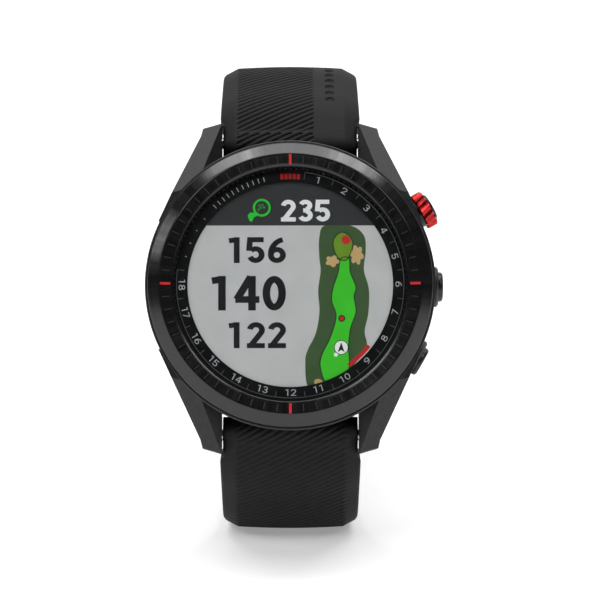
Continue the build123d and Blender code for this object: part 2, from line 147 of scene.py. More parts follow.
def brush_round_dial(tree, shader, rough, streak, colour):
    """Fine radial brushing: roughness varies with the angle about the dial axis, and the base colour is
    lightened along the same lines as a painted highlight.
    """
    link = tree.links.new
    place = tree.nodes.new("ShaderNodeTexCoord")
    shift = tree.nodes.new("ShaderNodeVectorMath")
    shift.operation = "SUBTRACT"
    shift.inputs[1].default_value = HEAD
    link(place.outputs["Object"], shift.inputs[0])
    parts = []
    for axis in (DIAL_X, DIAL_Y):
        dot = tree.nodes.new("ShaderNodeVectorMath")
        dot.operation = "DOT_PRODUCT"
        dot.inputs[1].default_value = axis
        link(shift.outputs["Vector"], dot.inputs[0])
        parts.append(dot.outputs["Value"])
    angle = tree.nodes.new("ShaderNodeMath")
    angle.operation = "ARCTAN2"
    link(parts[1], angle.inputs[0])
    link(parts[0], angle.inputs[1])
    lines = tree.nodes.new("ShaderNodeTexNoise")
    lines.noise_dimensions = "1D"
    lines.inputs["Scale"].default_value = BRUSH_LINES
    lines.inputs["Detail"].default_value = 6
    lines.inputs["Roughness"].default_value = 0.7
    link(angle.outputs["Value"], lines.inputs["W"])
    spread = tree.nodes.new("ShaderNodeMapRange")
    spread.inputs["From Min"].default_value = 0.3
    spread.inputs["From Max"].default_value = 0.7
    spread.inputs["To Min"].default_value = rough
    spread.inputs["To Max"].default_value = rough + streak
    link(lines.outputs["Fac"], spread.inputs["Value"])
    link(spread.outputs["Result"], shader.inputs["Roughness"])
    # Painted highlight: the base colour is lightened along the brushing lines in place of reflected
    # streaks of light.
    painted_highlight = tree.nodes.new("ShaderNodeValToRGB")
    painted_highlight.color_ramp.elements[0].position = 0.35
    painted_highlight.color_ramp.elements[0].color = (*colour, 1)
    painted_highlight.color_ramp.elements[1].position = 0.68
    painted_highlight.color_ramp.elements[1].color = (*[c * BRUSH_HIGHLIGHT_TONE for c in colour], 1)
    link(lines.outputs["Fac"], painted_highlight.inputs["Fac"])
    link(painted_highlight.outputs["Color"], shader.inputs["Base Color"])


def clear_glass(name, tint, rough=0.02, ior=1.25):
    """Thin clear glass: see-through with a Fresnel reflection and a faint uneven polish."""
    m = bpy.data.materials.new(name)
    m.use_nodes = True
    tree = m.node_tree
    tree.nodes.remove(tree.nodes["Principled BSDF"])
    out = tree.nodes["Material Output"]
    through = tree.nodes.new("ShaderNodeBsdfTransparent")
    through.inputs["Color"].default_value = (*tint, 1)
    shine = tree.nodes.new("ShaderNodeBsdfGlossy")
    polish = tree.nodes.new("ShaderNodeTexNoise")
    polish.inputs["Scale"].default_value = 900
    level = tree.nodes.new("ShaderNodeMapRange")
    level.inputs["To Min"].default_value = rough
    level.inputs["To Max"].default_value = rough * 2.5
    tree.links.new(polish.outputs["Fac"], level.inputs["Value"])
    tree.links.new(level.outputs["Result"], shine.inputs["Roughness"])
    edge = tree.nodes.new("ShaderNodeFresnel")
    edge.inputs["IOR"].default_value = ior
    mix = tree.nodes.new("ShaderNodeMixShader")
    tree.links.new(edge.outputs["Fac"], mix.inputs[0])
    tree.links.new(through.outputs[0], mix.inputs[1])
    tree.links.new(shine.outputs[0], mix.inputs[2])
    tree.links.new(mix.outputs[0], out.inputs["Surface"])
    return m


def screen_ink(name, colour, glow=0.0, rough=0.45):
    return surface(name, colour, rough, grain=2600, bump=0.02, mottle=0.04, rough_spread=0.03,
                   glow=glow)


POLYMER = surface("fibre_polymer", (0.013, 0.0135, 0.015), 0.44, grain=9000, bump=0.35,
                  mottle=0.25, speck=0.05, shine=0.4)
# The streak gives real rough brushing lines and also a painted highlight that lightens the ceramic's
# colour along them.
CERAMIC = surface("polished_ceramic", (0.005, 0.005, 0.0055), 0.15, grain=5000, bump=0.03,
                  streak=0.11)
SILICONE = surface("silicone", (0.0062, 0.0063, 0.0068), 0.66, grain=6000, bump=0.18,
                   mottle=0.2, shine=0.24)
RED_ALLOY = surface("anodised_red", (0.42, 0.018, 0.018), 0.24, metallic=0.9, grain=3000,
                    bump=0.06, stretch=(1, 6, 6))
GUNMETAL = surface("gunmetal", (0.035, 0.035, 0.037), 0.3, metallic=0.8, grain=3500, bump=0.08,
                   stretch=(1, 5, 5))
STEEL = surface("steel", (0.5, 0.5, 0.5), 0.28, metallic=1.0, grain=3000, bump=0.06,
                stretch=(6, 1, 1))
GOLD = surface("gold_plate", (0.75, 0.5, 0.2), 0.25, metallic=1.0, bump=0.04)
COPPER = surface("copper", (0.62, 0.3, 0.17), 0.3, metallic=1.0, bump=0.08)
RING_BLACK = surface("ring_black", (0.0035, 0.0035, 0.004), 0.38, grain=5000, bump=0.03)
COVER = surface("cover_polymer", (0.014, 0.014, 0.016), 0.5, grain=7000, bump=0.25)
DARK_PLASTIC = surface("dark_plastic", (0.02, 0.02, 0.022), 0.55, grain=5000, bump=0.15)
BOARD = surface("solder_mask", (0.01, 0.09, 0.035), 0.35, grain=2500, bump=0.12, mottle=0.3)
CHIP = surface("chip_epoxy", (0.012, 0.012, 0.012), 0.6, grain=6000, bump=0.2)
CELL = surface("cell_foil", (0.42, 0.43, 0.46), 0.35, metallic=0.7, grain=1500, bump=0.2)
FLEX = surface("polyimide", (0.35, 0.14, 0.02), 0.3, grain=2000, bump=0.06, coat=0.3)
WINDOW = surface("sensor_window", (0.006, 0.006, 0.008), 0.1, grain=3000, bump=0.02, coat=0.6)
LED = surface("led_green", (0.12, 0.6, 0.16), 0.2, grain=3000, bump=0.03, glow=0.2)
DIODE = surface("photodiode", (0.03, 0.015, 0.035), 0.15, grain=3000, bump=0.03)
DIFFUSER = surface("diffuser", (0.8, 0.81, 0.8), 0.6, grain=4000, bump=0.05)
GLASS = clear_glass("cover_glass", (0.97, 0.98, 0.98))
FILM = clear_glass("touch_film", (0.99, 0.99, 0.99), 0.05, 1.04)

PAPER = screen_ink("display_grey", (0.46, 0.46, 0.46), glow=0.55)
HEADER = screen_ink("display_dark", (0.033, 0.034, 0.036), glow=0.4)
DARK_INK = screen_ink("digit_dark", (0.018, 0.019, 0.022))
LIGHT_INK = screen_ink("digit_light", (0.72, 0.73, 0.73), glow=0.5)
# The ring's printed numerals and outline glow faintly though they are print, not a lamp: painted
# brightness.
RING_INK_PAINTED_GLOW = screen_ink("numeral_grey_painted_glow", (0.50, 0.52, 0.54), glow=0.3)
RING_LINE_PAINTED_GLOW = screen_ink("outline_grey_painted_glow", (0.16, 0.17, 0.18), glow=0.2)
MARK_INK = screen_ink("bezel_tick", (0.008, 0.008, 0.009), rough=0.6)
# The red bezel inlays and ring marks glow faintly though they are paint, not a lamp: painted brightness.
MARK_RED_PAINTED_GLOW = screen_ink("marker_red", (0.55, 0.02, 0.025), rough=0.35, glow=0.1)
ROUGH_GREEN = screen_ink("map_rough", (0.045, 0.085, 0.032), glow=0.5)
FAIRWAY = screen_ink("map_fairway", (0.045, 0.50, 0.022), glow=0.5)
PUTTING = screen_ink("map_green", (0.13, 0.26, 0.018), glow=0.5)
SAND = screen_ink("map_sand", (0.50, 0.34, 0.15), glow=0.5)
FLAG_RED = screen_ink("map_red", (0.50, 0.018, 0.02), glow=0.5)
ICON_GREEN = screen_ink("icon_green", (0.02, 0.50, 0.03), glow=0.5)
WHITE_INK = screen_ink("map_white", (0.8, 0.8, 0.8), glow=0.5)


# ---- mesh helpers --------------------------------------------------------------------
def mesh_piece(name, points, faces, material, body, slot, smooth=False, replaces=()):
    """A mesh from head-frame points in mm, riding a body and finished with a material; the slot argument
    is not used.
    """
    mesh = bpy.data.meshes.new(name)
    mesh.from_pydata([world(*p) for p in points], [], faces)
    mesh.validate()
    bm = bmesh.new()
    bm.from_mesh(mesh)
    bmesh.ops.recalc_face_normals(bm, faces=bm.faces)
    bm.to_mesh(mesh)
    bm.free()
    mesh.polygons.foreach_set("use_smooth", [smooth] * len(mesh.polygons))
    mesh.materials.append(material)
    obj = bpy.data.objects.new(name, mesh)
    bpy.context.scene.collection.objects.link(obj)
    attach(obj, body)
    if replaces:
        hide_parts(*replaces)
    return obj


def slab(outline, z0, z1):
    """Points and faces of a flat plate with that (x, y) outline between two heights."""
    n = len(outline)
    points = [(x, y, z0) for x, y in outline] + [(x, y, z1) for x, y in outline]
    faces = [tuple(range(n - 1, -1, -1)), tuple(range(n, 2 * n))]
    faces += [(i, (i + 1) % n, n + (i + 1) % n, n + i) for i in range(n)]
    return points, faces


def gather(parts):
    """Join (points, faces) pairs into one."""
    points, faces = [], []
    for more_points, more_faces in parts:
        base = len(points)
        points += more_points
        faces += [tuple(base + i for i in f) for f in more_faces]
    return points, faces


def lathe(profile, segments=240):
    """Ring turned about the dial axis from a closed (radius, z) profile."""
    n = len(profile)
    points, faces = [], []
    for k in range(segments):
        a = 2 * math.pi * k / segments
        points += [(r * math.sin(a), r * math.cos(a), z) for r, z in profile]
    for k in range(segments):
        here, there = k * n, (k + 1) % segments * n
        faces += [(here + i, here + (i + 1) % n, there + (i + 1) % n, there + i)
                  for i in range(n)]
    return points, faces


def polar(radius, clock):
    """Point on the dial; clock is degrees clockwise from twelve."""
    a = math.radians(clock)
    return radius * math.sin(a), radius * math.cos(a)


def arc_band(r0, r1, clock0, clock1, z0, z1, steps=60):
    turns = [clock0 + (clock1 - clock0) * i / steps for i in range(steps + 1)]
    inner = [polar(r0, t) for t in turns]
    outer = [polar(r1, t) for t in reversed(turns)]
    return slab(inner + outer, z0, z1)


def radial_bar(r0, r1, clock, width, z0, z1):
    half0 = math.degrees(width / 2 / r0)
    half1 = math.degrees(width / 2 / r1)
    corners = [polar(r0, clock - half0), polar(r1, clock - half1), polar(r1, clock + half1),
               polar(r0, clock + half0)]
    return slab(corners, z0, z1)


CURVE_STEPS = 8


def smooth_loop(control):
    """Closed Catmull-Rom curve through a few points."""
    n, out = len(control), []
    for i in range(n):
        p = [control[(i + k - 1) % n] for k in range(4)]
        for j in range(CURVE_STEPS):
            t = j / CURVE_STEPS
            out.append(tuple(0.5 * (2 * p[1][a] + (p[2][a] - p[0][a]) * t
                                    + (2 * p[0][a] - 5 * p[1][a] + 4 * p[2][a] - p[3][a]) * t * t
                                    + (3 * p[1][a] - p[0][a] - 3 * p[2][a] + p[3][a]) * t ** 3)
                             for a in (0, 1)))
    return out


def round_loop(x, y, r, count=40):
    return [(x + r * math.cos(2 * math.pi * i / count), y + r * math.sin(2 * math.pi * i / count))
            for i in range(count)]


def ring_band(x, y, r_in, r_out, z0, z1, count=48):
    points, faces = [], []
    for i in range(count):
        c, s = math.cos(2 * math.pi * i / count), math.sin(2 * math.pi * i / count)
        points += [(x + r_in * c, y + r_in * s, z0), (x + r_out * c, y + r_out * s, z0),
                   (x + r_out * c, y + r_out * s, z1), (x + r_in * c, y + r_in * s, z1)]
    for i in range(count):
        a, b = 4 * i, 4 * ((i + 1) % count)
        faces += [(a + k, a + (k + 1) % 4, b + (k + 1) % 4, b + k) for k in range(4)]
    return points, faces


def bow(x, y, rx, ry, start, end, count=14):
    """Points along an elliptical arc; angles in degrees anticlockwise from +x."""
    turns = [math.radians(start + (end - start) * i / count) for i in range(count + 1)]
    return [(x + rx * math.cos(t), y + ry * math.sin(t)) for t in turns]


def stroke(line, wide, thick, closed=False):
    """Flat mitred band of a width along a centre line."""
    n, points, faces = len(line), [], []
    for i, (x, y) in enumerate(line):
        before = line[i - 1] if i or closed else line[0]
        after = line[(i + 1) % n] if i < n - 1 or closed else line[-1]
        legs = []
        for (ax, ay), (bx, by) in ((before, (x, y)), ((x, y), after)):
            reach = math.hypot(bx - ax, by - ay)
            if reach > 1e-9:
                legs.append((-(by - ay) / reach, (bx - ax) / reach))
        nx, ny = sum(v[0] for v in legs) / len(legs), sum(v[1] for v in legs) / len(legs)
        grow = wide / 2 / max(nx * nx + ny * ny, 0.35)
        points += [(x + nx * grow, y + ny * grow, 0), (x - nx * grow, y - ny * grow, 0),
                   (x - nx * grow, y - ny * grow, thick), (x + nx * grow, y + ny * grow, thick)]
    for i in range(n if closed else n - 1):
        a, b = 4 * i, 4 * ((i + 1) % n)
        faces += [(a + k, a + (k + 1) % 4, b + (k + 1) % 4, b + k) for k in range(4)]
    if not closed:
        faces += [(3, 2, 1, 0), (4 * n - 4, 4 * n - 3, 4 * n - 2, 4 * n - 1)]
    return points, faces


FIGURE_WIDE = 0.6


def figure(digit, w):
    """Centre lines of one figure in a box 0.6 wide and 1 high: (points, closed) pairs."""
    h = w / 2
    mid, full = FIGURE_WIDE / 2, FIGURE_WIDE
    bowl = (bow(mid, 0.31, mid - h, 0.31 - h, 0, 345, 23), True)
    hook = (bow(full - 0.04, 0.34, full - 0.04 - h, 0.66 - h, 180, 98), False)
    if digit == "0":
        return [(bow(mid, 0.5, mid - h, 0.5 - h, 0, 348, 29), True)]
    if digit == "1":
        return [([(0.36, 0), (0.36, 1)], False), ([(0.36, 1 - h), (0.10, 0.86)], False)]
    if digit == "2":
        top = bow(mid, 0.70, mid - h, 0.30 - h, 172, -28)
        return [(top + [(h + 0.03, h)], False), ([(0, h), (full, h)], False)]
    if digit == "3":
        return [(bow(mid - 0.01, 0.735, mid - 0.02 - h, 0.265 - h, 160, -80), False),
                (bow(mid - 0.01, 0.285, mid - h, 0.285 - h, 80, -160), False),
                ([(0.2, 0.51), (0.34, 0.51)], False)]
    if digit == "4":
        return [([(0.43, 1), (0.43, 0)], False), ([(0.0, 0.22 + h), (full + 0.02, 0.22 + h)], False),
                ([(0.40, 0.98), (0.04, 0.22 + h)], False)]
    if digit == "5":
        return [([(full - 0.04, 1 - h), (0.08, 1 - h)], False), ([(0.11, 1), (0.07, 0.47)], False),
                (bow(mid - 0.01, 0.325, mid - h, 0.325 - h, 138, -158), False)]
    if digit == "7":
        return [([(0, 1 - h), (full, 1 - h)], False), ([(full - h, 1 - h), (0.2, 0)], False)]
    if digit == "8":
        return [(bow(mid, 0.745, mid - 0.03 - h, 0.255 - h, 0, 345, 23), True),
                (bow(mid, 0.285, mid - h, 0.285 - h, 0, 345, 23), True)]
    if digit == "6":
        return [bowl, hook]
    turned = [([(full - x, 1 - y) for x, y in line], closed) for line, closed in (bowl, hook)]
    return turned


FIGURE_GAP = 0.1
DISPLAY_STROKE, DISPLAY_THICK = 0.195, 0.02


def figures(text, wide_stroke, thick):
    """Points and faces of figures in unit width and height, middle at 0, 0, and their shape."""
    total = len(text) * FIGURE_WIDE + (len(text) - 1) * FIGURE_GAP
    parts = []
    for i, digit in enumerate(text):
        shift = i * (FIGURE_WIDE + FIGURE_GAP)
        for level, (line, closed) in enumerate(figure(digit, wide_stroke)):
            points, faces = stroke(line, wide_stroke, thick * (1 + 0.1 * level), closed)
            parts.append(([((x + shift) / total - 0.5, y - 0.5, z) for x, y, z in points], faces))
    points, faces = gather(parts)
    return points, faces, total


def figures_in(text, x0, x1, y0, y1, z):
    """Figures of the display stretched to fill a box."""
    points, faces, _ = figures(text, DISPLAY_STROKE, DISPLAY_THICK)
    mid_x, mid_y = (x0 + x1) / 2, (y0 + y1) / 2
    return [(mid_x + px * (x1 - x0), mid_y + py * (y1 - y0), z + pz) for px, py, pz in points], faces


# ---- bezel ---------------------------------------------------------------------------
BEZEL_R_IN, RIDGE_R, BEZEL_R_OUT = 19.0, 21.0, 23.06
SLOPE_IN_Z, RIDGE_Z, BEZEL_FOOT_Z = 12.75, 13.2, 10.2


def slope_z(r):
    """Height of the gently sloping tick band."""
    return SLOPE_IN_Z + (RIDGE_Z - SLOPE_IN_Z) * (r - BEZEL_R_IN) / (RIDGE_R - BEZEL_R_IN)


bezel_profile = [(BEZEL_R_IN, BEZEL_FOOT_Z), (BEZEL_R_IN, SLOPE_IN_Z - 0.10),
                 (BEZEL_R_IN + 0.03, SLOPE_IN_Z - 0.03), (BEZEL_R_IN + 0.12, slope_z(19.12)),
                 (19.6, slope_z(19.6)), (20.3, slope_z(20.3)), (20.78, slope_z(20.78)),
                 (20.93, RIDGE_Z - 0.008), (21.02, RIDGE_Z - 0.01), (21.12, RIDGE_Z - 0.06),
                 (21.3, RIDGE_Z - 0.2), (22.0, 12.37), (22.7, 11.79), (22.92, 11.6),
                 (23.03, 11.49), (BEZEL_R_OUT, 11.4), (BEZEL_R_OUT, 11.2), (22.6, BEZEL_FOOT_Z)]
mesh_piece("bezel_ring", *lathe(bezel_profile, 300), CERAMIC, "case", "ceramic", smooth=True,
           replaces=["bezel"])

TICK_RISE, TICK_SINK = 0.012, 0.05


def sloped_bar(r0, r1, clock, width):
    """Bar lying on the tick band, its top just proud of the ceramic."""
    points, faces = radial_bar(r0, r1, clock, width, 0, 1)
    out = []
    for x, y, z in points:
        top = slope_z(math.hypot(x, y))
        out.append((x, y, top + TICK_RISE if z else top - TICK_SINK))
    return out, faces


ticks = [sloped_bar(19.55, 20.7, 6 * i, 0.16) for i in range(60) if i % 15]
mesh_piece("bezel_ticks", *gather(ticks), MARK_INK, "case", "ceramic")
red_marks = [sloped_bar(19.3, 20.95, 90 * i, 0.42) for i in range(4)]
mesh_piece("bezel_red_marks", *gather(red_marks), MARK_RED_PAINTED_GLOW, "case", "marker_red",
           replaces=["bezel_markers"])

# ---- knurled ring of the upper button ------------------------------------------------
BUTTON_ANGLE, BUTTON_Z = math.radians(30), 6.3
KNURL_R, KNURL_BORE, KNURL_FROM, KNURL_TO = 3.05, 2.42, 24.3, 26.2
KNURLS, KNURL_DEEP, KNURL_TWIST = 16, 0.26, 0.5


def knurled_ring():
    """Ring about the button axis with slanting flutes cut into its rim."""
    around, along = 192, 10
    points, faces = [], []
    for k in range(along + 1):
        u = KNURL_FROM + (KNURL_TO - KNURL_FROM) * k / along
        edge = min(u - KNURL_FROM, KNURL_TO - u)
        for i in range(around):
            a = 2 * math.pi * i / around
            phase = (KNURLS * a / (2 * math.pi) + KNURL_TWIST * k / along) % 1.0
            r = KNURL_R - KNURL_DEEP * abs(2 * phase - 1) - max(0.0, 0.2 - edge)
            points.append((u, r * math.cos(a), r * math.sin(a)))
    for u in (KNURL_TO, KNURL_FROM):
        points += [(u, KNURL_BORE * math.cos(2 * math.pi * i / around),
                    KNURL_BORE * math.sin(2 * math.pi * i / around)) for i in range(around)]
    rows = along + 3
    for k in range(rows):
        a, b = k * around, ((k + 1) % rows) * around
        faces += [(a + i, a + (i + 1) % around, b + (i + 1) % around, b + i)
                  for i in range(around)]
    cos_a, sin_a = math.cos(BUTTON_ANGLE), math.sin(BUTTON_ANGLE)
    return [(u * cos_a - v * sin_a, u * sin_a + v * cos_a, BUTTON_Z + w)
            for u, v, w in points], faces


mesh_piece("upper_button_knurl", *knurled_ring(), RED_ALLOY, "upper_button", "anodised_red",
           replaces=["upper_button_ring"])

# ---- numeral ring -----------------------------------------------------------------------
RING_TOP = 11.25
INK = 0.02
RING_LINE_R = 18.35
DIGIT_R = 17.5
DIGIT_TALL = 1.05

lines = [arc_band(RING_LINE_R - 0.05, RING_LINE_R + 0.05, 7.5, 277.5, RING_TOP, RING_TOP + INK, 180)]
lines += [radial_bar(17.25 if n in (0, 18) else 17.45, RING_LINE_R, 15 * n + 7.5, 0.09, RING_TOP,
                     RING_TOP + INK) for n in range(19)]
mesh_piece("ring_outline", *gather(lines), RING_LINE_PAINTED_GLOW, "case", "ring_black")


def ring_number(n):
    """Number n at 15 degrees a step; the lower ones are turned to stay readable."""
    points, faces, ratio = figures(str(n), 0.11, INK)
    clock = 15.0 * n
    flip = -1 if n > 6 else 1
    wide = DIGIT_TALL * ratio * 1.35
    out = []
    for px, py, pz in points:
        radius = DIGIT_R + flip * py * DIGIT_TALL
        x, y = polar(radius, clock + flip * math.degrees(px * wide / DIGIT_R))
        out.append((x, y, RING_TOP + pz))
    return out, faces


mesh_piece("ring_numbers", *gather([ring_number(n) for n in range(1, 19)]), RING_INK_PAINTED_GLOW, "case",
           "ring_black")
small_marks = [radial_bar(17.3, 17.6, 285 + 7.5 * i, 0.1, RING_TOP, RING_TOP + INK)
               for i in range(4)]
small_marks += [radial_bar(17.15, 17.95, 316 + 3 * i, 0.11, RING_TOP, RING_TOP + INK)
                for i in range(11)]
mesh_piece("ring_small_marks", *gather(small_marks), RING_INK_PAINTED_GLOW, "case", "ring_black")
crest = [radial_bar(17.1, 18.0, 2.2 * i, 0.5, RING_TOP, RING_TOP + INK) for i in range(-2, 3)]
mesh_piece("ring_red_marks", *gather(crest), MARK_RED_PAINTED_GLOW, "case", "marker_red")

# ---- display picture ---------------------------------------------------------------------
SCREEN_R = 17.2
SCREEN_Z = 10.71
LAYER = 0.02
HEADER_Y = 9.6
half_angle = math.degrees(math.acos(HEADER_Y / SCREEN_R))
header = [polar(SCREEN_R, -half_angle + 2 * half_angle * i / 40) for i in range(41)]
field = [polar(SCREEN_R, half_angle + (360 - 2 * half_angle) * i / 120) for i in range(121)]
mesh_piece("display_field", *slab(field, SCREEN_Z, SCREEN_Z + LAYER), PAPER, "case", "display")
mesh_piece("display_header", *slab(header, SCREEN_Z, SCREEN_Z + LAYER), HEADER, "case", "display")

TOP = SCREEN_Z + LAYER
yardage = [figures_in("156", -10.4, -0.7, 3.5, 7.7, TOP), figures_in("140", -13.3, -0.7, -4.2, 1.4, TOP),
           figures_in("122", -10.4, -0.7, -10.3, -6.1, TOP)]
mesh_piece("display_yardage", *gather(yardage), DARK_INK, "case", "display")
mesh_piece("display_distance", *figures_in("235", -1.5, 6.5, 10.25, 13.8, TOP), LIGHT_INK,
           "case", "display")

ball = ring_band(-4.6, 12.5, 1.1, 1.45, TOP, TOP + LAYER)
tee = slab([(-5.7, 11.7), (-5.2, 11.25), (-5.9, 10.9), (-6.2, 10.2), (-6.6, 10.4), (-6.9, 11.2),
            (-6.5, 11.7)], TOP, TOP + LAYER)
dimples = [ring_band(-4.6 + dx, 12.5 + dy, 0.08, 0.15, TOP, TOP + LAYER, 12)
           for dx, dy in ((-0.4, 0.35), (0.1, 0.45), (-0.15, 0.0), (0.35, 0.05), (-0.5, -0.3))]
mesh_piece("display_icon", *gather([ball, tee] + dimples), ICON_GREEN, "case", "display")

# A made-up hole, from the far green down to the near edge of the display.
rough_edge = [(5.6, HEADER_Y), (9.7, HEADER_Y), (11.9, 8.0), (12.2, 5.4), (11.9, 2.4), (12.7, -0.8),
              (12.6, -4.6), (12.0, -7.6), (12.3, -10.0), (10.6, -12.6), (8.6, -14.5), (5.8, -15.9),
              (2.9, -16.6), (2.4, -12.6), (2.8, -10.6), (4.1, -7.9), (4.7, -4.4), (4.5, -1.0),
              (4.9, 2.2), (4.7, 4.4), (4.7, 7.6)]
rough_loop = [p for p in smooth_loop(rough_edge) if p[1] <= HEADER_Y + 0.01]
fairway_edge = [(8.2, 4.2), (9.5, 4.2), (9.7, 2.0), (10.6, -0.4), (10.3, -2.0), (10.6, -4.4),
                (9.7, -7.2), (9.4, -10.2), (9.4, -13.7), (7.4, -15.0), (5.7, -15.8), (4.8, -13.2),
                (5.2, -11.1), (6.4, -8.7), (7.4, -5.2), (6.7, -2.7), (6.9, -0.6), (7.7, 1.8)]
green_edge = [(7.0, 7.2), (8.0, 8.4), (9.2, 8.2), (10.1, 6.8), (9.7, 5.0), (8.9, 3.9), (7.8, 4.3),
              (7.1, 5.6)]
sand_near = [(3.9, -16.0), (4.0, -15.4), (4.7, -15.3), (5.3, -15.8), (4.8, -16.3)]
flag_blob = [(8.5, 6.7), (8.4, 7.7), (9.2, 7.9), (9.8, 7.1), (9.3, 6.6)]


def fill(name, loops, material, level):
    parts = [slab(loop, TOP + level * LAYER, TOP + (level + 1) * LAYER) for loop in loops]
    mesh_piece(name, *gather(parts), material, "case", "display")


LOBED_POINTS = 72


def lobed(x, y, rx, ry, lobes, turn):
    """Closed curve with rounded lobes, the outline of a bunker."""
    loop = []
    for i in range(LOBED_POINTS):
        a = 2 * math.pi * i / LOBED_POINTS
        k = 0.8 + 0.42 * abs(math.cos((lobes * a + turn) / 2))
        loop.append((x + rx * k * math.cos(a), y + ry * k * math.sin(a)))
    return loop


def edge_line(control, width, z0, z1):
    """Thin band following a closed curve."""
    loop = smooth_loop(control)
    n, points, faces = len(loop), [], []
    for i in range(n):
        ax, ay = loop[i - 1]
        bx, by = loop[(i + 1) % n]
        reach = math.hypot(bx - ax, by - ay) or 1.0
        nx, ny = (by - ay) / reach * width / 2, -(bx - ax) / reach * width / 2
        x, y = loop[i]
        points += [(x - nx, y - ny, z0), (x + nx, y + ny, z0), (x + nx, y + ny, z1),
                   (x - nx, y - ny, z1)]
    for i in range(n):
        a, b = 4 * i, 4 * ((i + 1) % n)
        faces += [(a + k, a + (k + 1) % 4, b + (k + 1) % 4, b + k) for k in range(4)]
    return points, faces


fill("map_rough_patch", [rough_loop], ROUGH_GREEN, 0)
fill("map_fairway_patch", [smooth_loop(fairway_edge)], FAIRWAY, 1)
fill("map_sand_patches", [lobed(6.8, 3.8, 0.95, 0.8, 5, 0.6), lobed(10.75, 4.8, 0.95, 1.35, 6, 1.2),
                          smooth_loop(sand_near)], SAND, 1)
fill("map_green_patch", [smooth_loop(green_edge)], PUTTING, 2)
fill("map_flag", [smooth_loop(flag_blob)], FLAG_RED, 3)
edges = [edge_line(e, 0.13, TOP + 2 * LAYER, TOP + 3.5 * LAYER) for e in (fairway_edge, green_edge)]
spot_rim = ring_band(8.3, -5.5, 0.34, 0.55, TOP + 2 * LAYER, TOP + 3 * LAYER)
marker_rim = ring_band(8.2, -10.2, 1.05, 1.18, TOP + 2 * LAYER, TOP + 3 * LAYER)
arrow = slab([(8.2, -9.35), (8.75, -10.95), (8.2, -10.6), (7.65, -10.95)],
             TOP + 3 * LAYER, TOP + 4 * LAYER)
mesh_piece("map_dark_lines", *gather(edges + [spot_rim, marker_rim, arrow]), DARK_INK,
           "case", "display")
fill("map_red_spot", [round_loop(8.3, -5.5, 0.36)], FLAG_RED, 2)
fill("map_marker", [round_loop(8.2, -10.2, 1.07), round_loop(7.35, -11.35, 0.33)], WHITE_INK, 2)
scroll = arc_band(15.75, 16.4, 128, 144.5, TOP + 2 * LAYER, TOP + 3 * LAYER, 24)
mesh_piece("display_scroll_bar", *scroll, FLAG_RED, "case", "display")

# ---- strap halves --------------------------------------------------------------------------
PIN_Y, PIN_Z, KNUCKLE_R = 24.0, 3.8, 2.8
STRAP_T, FLAT, START = 3.3, 8.8, 30.0
UPPER_STEPS = [("line", 3.0), ("arc", 15.5, 55.0), ("line", 6.2), ("arc", 21.5, 68.0),
               ("arc", 9.5, 90.0), ("arc", 35.6, 135.0), ("line", 21.0)]
LOWER_STEPS = [("line", 3.0), ("arc", 15.5, 55.0), ("line", 5.3), ("arc", 21.5, 68.0),
               ("arc", 9.5, 90.0 + LEAN), ("line", 40.0), ("arc", 23.6, 160.0 + LEAN),
               ("line", 16.0)]
TAPER_STEPS = 4
GROOVE_PITCH, GROOVE_WIDE, GROOVE_DEEP, GROOVE_SLOPE = 0.88, 0.38, 0.24, math.radians(30)
LOWER_DEEP = 0.13          # the lower half's grooves are shallower
LUG_HALF = 11.0            # half width between the lugs
CUT_ABOVE, CUT_BELOW = 2.0, 6.0
END_SWELL = 0.42           # how far the round lug end grows toward the case wall
HOLES, HOLE_PITCH, HOLE_R, HOLE_BACK = 11, 6.2, 1.5, 12.0


def step_long(step, h):
    return step[1] if step[0] == "line" else step[1] * math.radians(step[2] - h)


def path_length(steps):
    total, h = 0.0, START
    for step in steps:
        total += step_long(step, h)
        h = step[2] if step[0] == "arc" else h
    return total


def path_at(steps, s):
    """Outer-face point (y, z) and heading at length s along a strap half."""
    h = math.radians(START)
    y, z = PIN_Y + math.sin(h) * KNUCKLE_R, PIN_Z + math.cos(h) * KNUCKLE_R
    for step in steps:
        long = step_long(step, math.degrees(h))
        used = min(s, long) if step is not steps[-1] else s
        if step[0] == "line":
            y, z = y + math.cos(h) * used, z - math.sin(h) * used
        else:
            turn = used / step[1]
            y += step[1] * (math.sin(h + turn) - math.sin(h))
            z += step[1] * (math.cos(h + turn) - math.cos(h))
            h += turn
        s -= used
        if s <= 1e-9:
            break
    return y, z, math.degrees(h)


def strap_thick(steps, s):
    if s < 0:
        return KNUCKLE_R + math.sqrt(max(KNUCKLE_R ** 2 - (1.1 * s) ** 2, 0.04))
    k = min(s / path_length(steps[:TAPER_STEPS]), 1.0)
    return STRAP_T + (2 * KNUCKLE_R - STRAP_T) * (1 - k * k * (3 - 2 * k))


def ease(value, low, high):
    k = min(max((value - low) / (high - low), 0.0), 1.0)
    return k * k * (3 - 2 * k)


def half_width(y, z):
    plan = LUG_HALF + 0.5 * ease(y, 28.2, 29.4) - 0.25 * min(max((y - 29.4) / 9.6, 0), 1)
    back = 11.5 - 1.5 * min(max((-4 - z) / 30, 0), 1)
    return min(plan, back)


def groove(s, x, side, x_high, s_end, deep):
    """Depth of the slanting grooves at length s and place x."""
    cross = s * math.cos(GROOVE_SLOPE) - side * x * math.sin(GROOVE_SLOPE)
    off = abs((cross / GROOVE_PITCH + 0.5) % 1.0 - 0.5) * GROOVE_PITCH
    dip = 1 - ease(off, 0.08, GROOVE_WIDE / 2 + 0.06)
    fade = ease(x, -8.8, -8.5) * (1 - ease(x, x_high, x_high + 0.3))
    return deep * dip * fade * (1 - ease(s, s_end - 2, s_end)) * ease(s, -4.6, -3.6)


